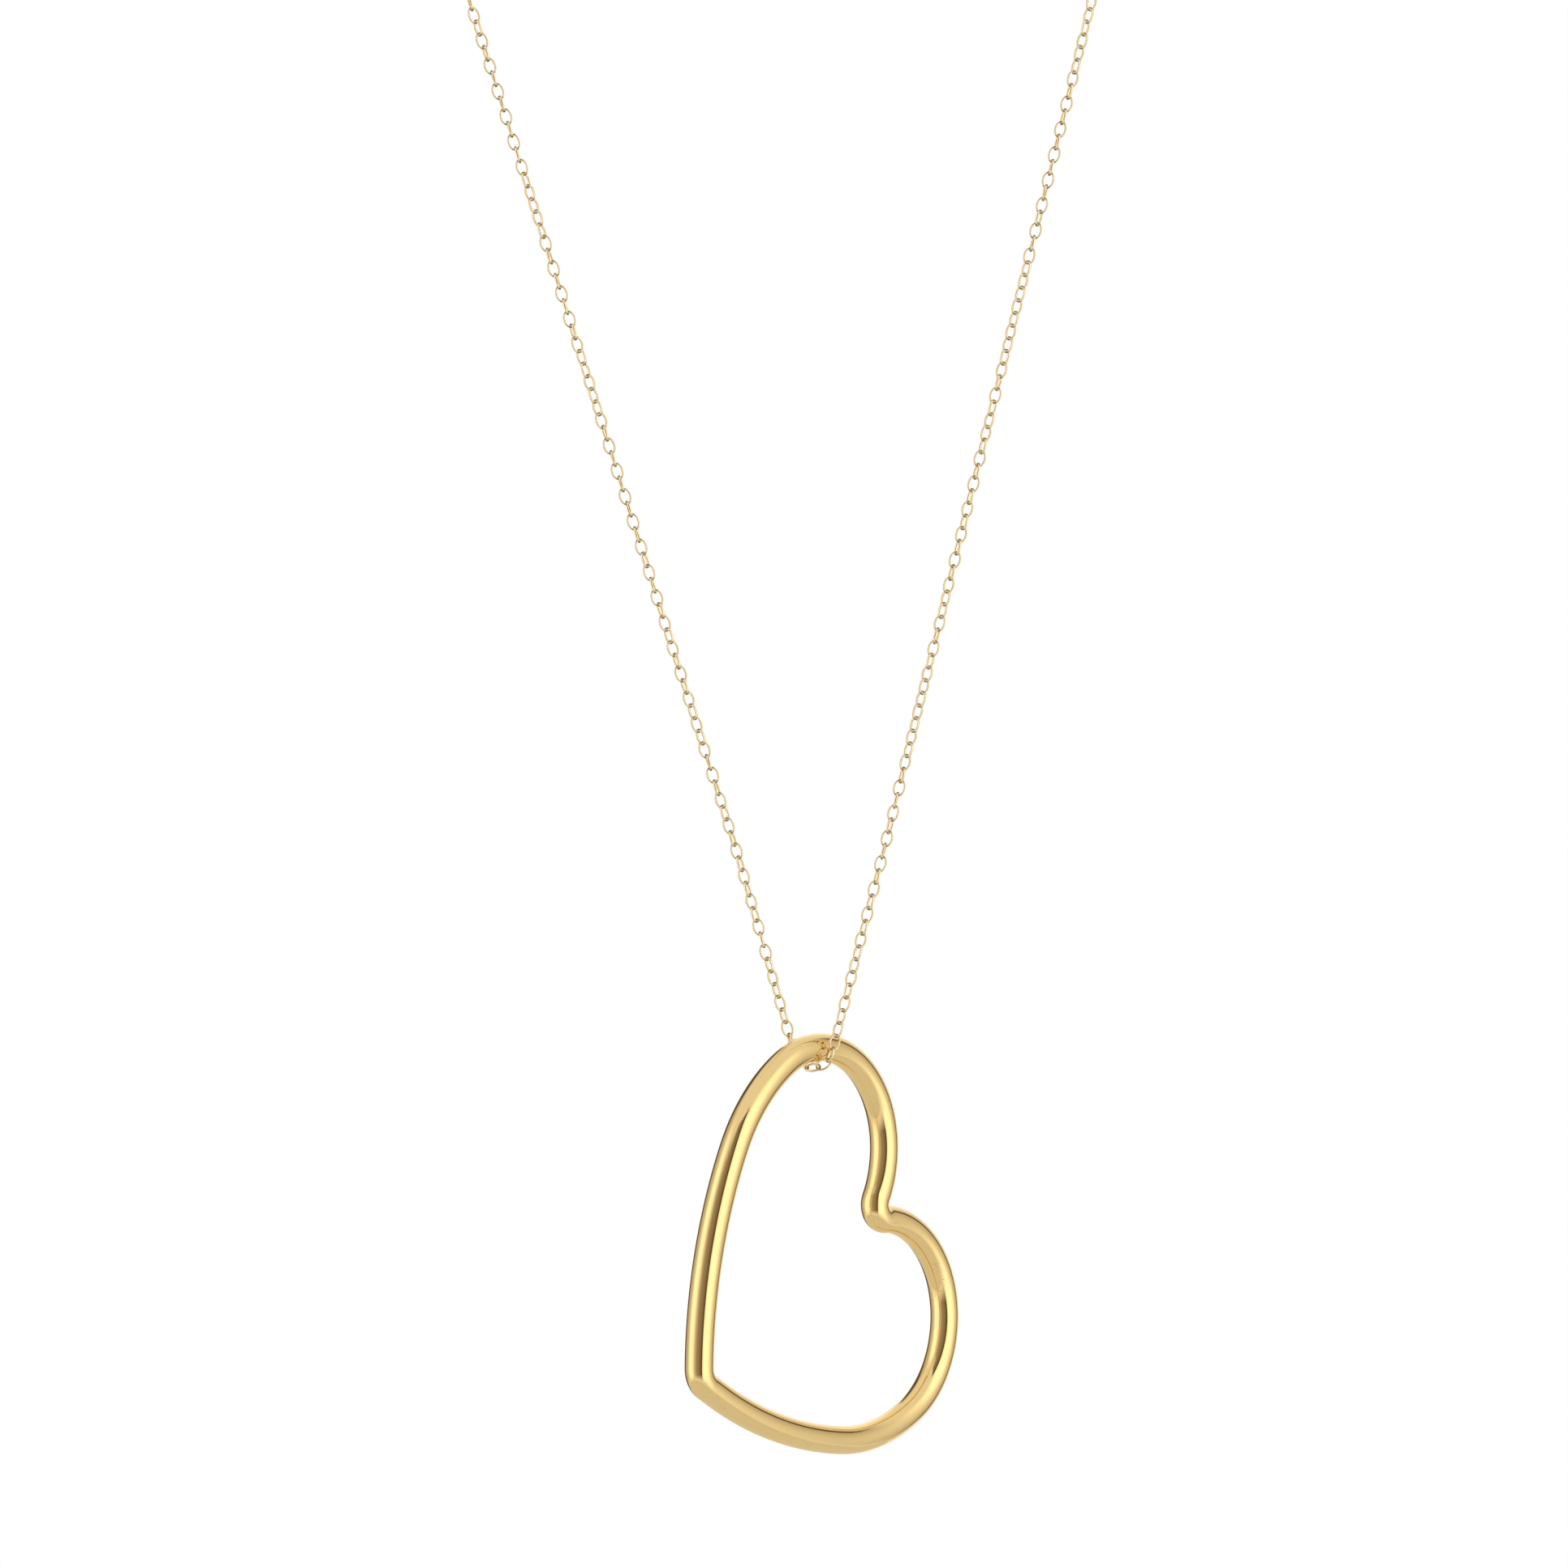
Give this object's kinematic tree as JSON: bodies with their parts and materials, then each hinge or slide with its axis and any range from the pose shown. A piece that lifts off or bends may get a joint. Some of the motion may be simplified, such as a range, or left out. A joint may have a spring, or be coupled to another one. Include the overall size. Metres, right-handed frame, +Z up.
{
  "type": "pendant necklace",
  "caption": "Open heart of polished round bar hanging from a fine cable chain necklace that closes at the nape with a spring-ring clasp.",
  "frame": {"origin": "middle of the neck loop, level with the place where the chain lies on both shoulders", "axes": "+Z up, the wearer faces -Y, +X to the wearer's left, which is the right in a front view"},
  "size_m": [0.1038, 0.1166, 0.1846],
  "materials": {
    "heart_gold": "high polish yellow gold",
    "chain_gold": "polished yellow gold",
    "clasp_gold": "polished yellow gold"
  },
  "bodies": {
    "neck": {"neck_left_1": "chain_gold", "neck_right_1": "chain_gold"},
    "front_left_1": {"chain_left_1": "chain_gold"},
    "front_left_2": {"chain_left_2": "chain_gold"},
    "front_left_3": {"chain_left_3": "chain_gold"},
    "front_left_4": {"chain_left_4": "chain_gold"},
    "front_left_5": {"chain_left_5": "chain_gold"},
    "front_left_6": {"chain_left_6": "chain_gold"},
    "front_right_1": {"chain_right_1": "chain_gold"},
    "front_right_2": {"chain_right_2": "chain_gold"},
    "front_right_3": {"chain_right_3": "chain_gold"},
    "front_right_4": {"chain_right_4": "chain_gold"},
    "front_right_5": {"chain_right_5": "chain_gold"},
    "front_right_6": {"chain_right_6": "chain_gold"},
    "bight": {"chain_bight": "chain_gold"},
    "heart": {"heart_pendant": "heart_gold"},
    "back_left": {"neck_left_2": "chain_gold"},
    "nape_left": {"nape_left": "chain_gold"},
    "back_right": {"neck_right_2": "chain_gold"},
    "nape_right": {"nape_right": "chain_gold"},
    "end_ring": {"end_ring": "clasp_gold"},
    "jump_ring": {"clasp_jump_ring": "clasp_gold"},
    "clasp": {"clasp_body": "clasp_gold"},
    "trigger": {"clasp_trigger": "clasp_gold"}
  },
  "joints": [
    {"name": "front_left_1_bend", "type": "hinge", "parent": "neck", "child": "front_left_1", "pos_m": [0, -0.046, -0.0314], "axis": [-1, 0, 0], "range_deg": [-20, 20]},
    {"name": "front_left_2_bend", "type": "hinge", "parent": "front_left_1", "child": "front_left_2", "pos_m": [0, -0.046, -0.047], "axis": [-1, 0, 0], "range_deg": [-20, 20]},
    {"name": "front_left_3_bend", "type": "hinge", "parent": "front_left_2", "child": "front_left_3", "pos_m": [0, -0.046, -0.0626], "axis": [-1, 0, 0], "range_deg": [-20, 20]},
    {"name": "front_left_4_bend", "type": "hinge", "parent": "front_left_3", "child": "front_left_4", "pos_m": [0, -0.046, -0.0782], "axis": [-1, 0, 0], "range_deg": [-20, 20]},
    {"name": "front_left_5_bend", "type": "hinge", "parent": "front_left_4", "child": "front_left_5", "pos_m": [0, -0.046, -0.0938], "axis": [-1, 0, 0], "range_deg": [-20, 20]},
    {"name": "front_left_6_bend", "type": "hinge", "parent": "front_left_5", "child": "front_left_6", "pos_m": [0, -0.046, -0.1094], "axis": [-1, 0, 0], "range_deg": [-20, 20]},
    {"name": "front_right_1_bend", "type": "hinge", "parent": "neck", "child": "front_right_1", "pos_m": [0, -0.046, -0.0314], "axis": [-1, 0, 0], "range_deg": [-20, 20]},
    {"name": "front_right_2_bend", "type": "hinge", "parent": "front_right_1", "child": "front_right_2", "pos_m": [0, -0.046, -0.047], "axis": [-1, 0, 0], "range_deg": [-20, 20]},
    {"name": "front_right_3_bend", "type": "hinge", "parent": "front_right_2", "child": "front_right_3", "pos_m": [0, -0.046, -0.0626], "axis": [-1, 0, 0], "range_deg": [-20, 20]},
    {"name": "front_right_4_bend", "type": "hinge", "parent": "front_right_3", "child": "front_right_4", "pos_m": [0, -0.046, -0.0782], "axis": [-1, 0, 0], "range_deg": [-20, 20]},
    {"name": "front_right_5_bend", "type": "hinge", "parent": "front_right_4", "child": "front_right_5", "pos_m": [0, -0.046, -0.0938], "axis": [-1, 0, 0], "range_deg": [-20, 20]},
    {"name": "bight_turn", "type": "hinge", "parent": "front_left_6", "child": "bight", "pos_m": [0.0037, -0.046, -0.125], "axis": [0, 0, 1], "range_deg": [-25, 25]},
    {"name": "front_right_6_turn", "type": "hinge", "parent": "bight", "child": "front_right_6", "pos_m": [0.0037, -0.046, -0.125], "axis": [0, 0, 1], "range_deg": [-25, 25]},
    {"name": "heart_swing", "type": "hinge", "parent": "bight", "child": "heart", "pos_m": [0.00324, -0.04655, -0.125], "axis": [0.6448, 0.7644, 0], "range_deg": [-60, 60]},
    {"name": "back_left_lift", "type": "hinge", "parent": "neck", "child": "back_left", "pos_m": [0, -0.017, 0.003], "axis": [1, 0, 0], "range_deg": [0, 25]},
    {"name": "nape_left_lift", "type": "hinge", "parent": "back_left", "child": "nape_left", "pos_m": [0, 0.015, 0.014], "axis": [1, 0, 0], "range_deg": [0, 25]},
    {"name": "back_right_lift", "type": "hinge", "parent": "neck", "child": "back_right", "pos_m": [0, -0.017, 0.003], "axis": [1, 0, 0], "range_deg": [0, 25]},
    {"name": "nape_right_lift", "type": "hinge", "parent": "back_right", "child": "nape_right", "pos_m": [0, 0.015, 0.014], "axis": [1, 0, 0], "range_deg": [0, 25]},
    {"name": "end_ring_roll", "type": "hinge", "parent": "nape_left", "child": "end_ring", "pos_m": [-0.00335, 0.056, 0.023], "axis": [1, 0, 0], "range_deg": [-25, 25]},
    {"name": "jump_ring_roll", "type": "hinge", "parent": "nape_right", "child": "jump_ring", "pos_m": [0.00705, 0.056, 0.023], "axis": [1, 0, 0], "range_deg": [-25, 25]},
    {"name": "clasp_roll", "type": "hinge", "parent": "jump_ring", "child": "clasp", "pos_m": [0.00475, 0.056, 0.023], "axis": [1, 0, 0], "range_deg": [-25, 25]},
    {"name": "clasp_trigger_slide", "type": "hinge", "parent": "clasp", "child": "trigger", "pos_m": [0.00063, 0.056, 0.023], "axis": [0, -1, 0], "range_deg": [0, 40], "stiffness_Nm_per_rad": 0.002}
  ],
  "couplings": [
    {"joint": "front_right_1_bend", "follows": "front_left_1_bend", "ratio": 1},
    {"joint": "front_right_2_bend", "follows": "front_left_2_bend", "ratio": 1},
    {"joint": "front_right_3_bend", "follows": "front_left_3_bend", "ratio": 1},
    {"joint": "front_right_4_bend", "follows": "front_left_4_bend", "ratio": 1},
    {"joint": "front_right_5_bend", "follows": "front_left_5_bend", "ratio": 1},
    {"joint": "front_right_6_turn", "follows": "bight_turn", "ratio": -1},
    {"joint": "back_left_lift", "follows": "back_right_lift", "ratio": 1},
    {"joint": "nape_left_lift", "follows": "nape_right_lift", "ratio": 1}
  ]
}
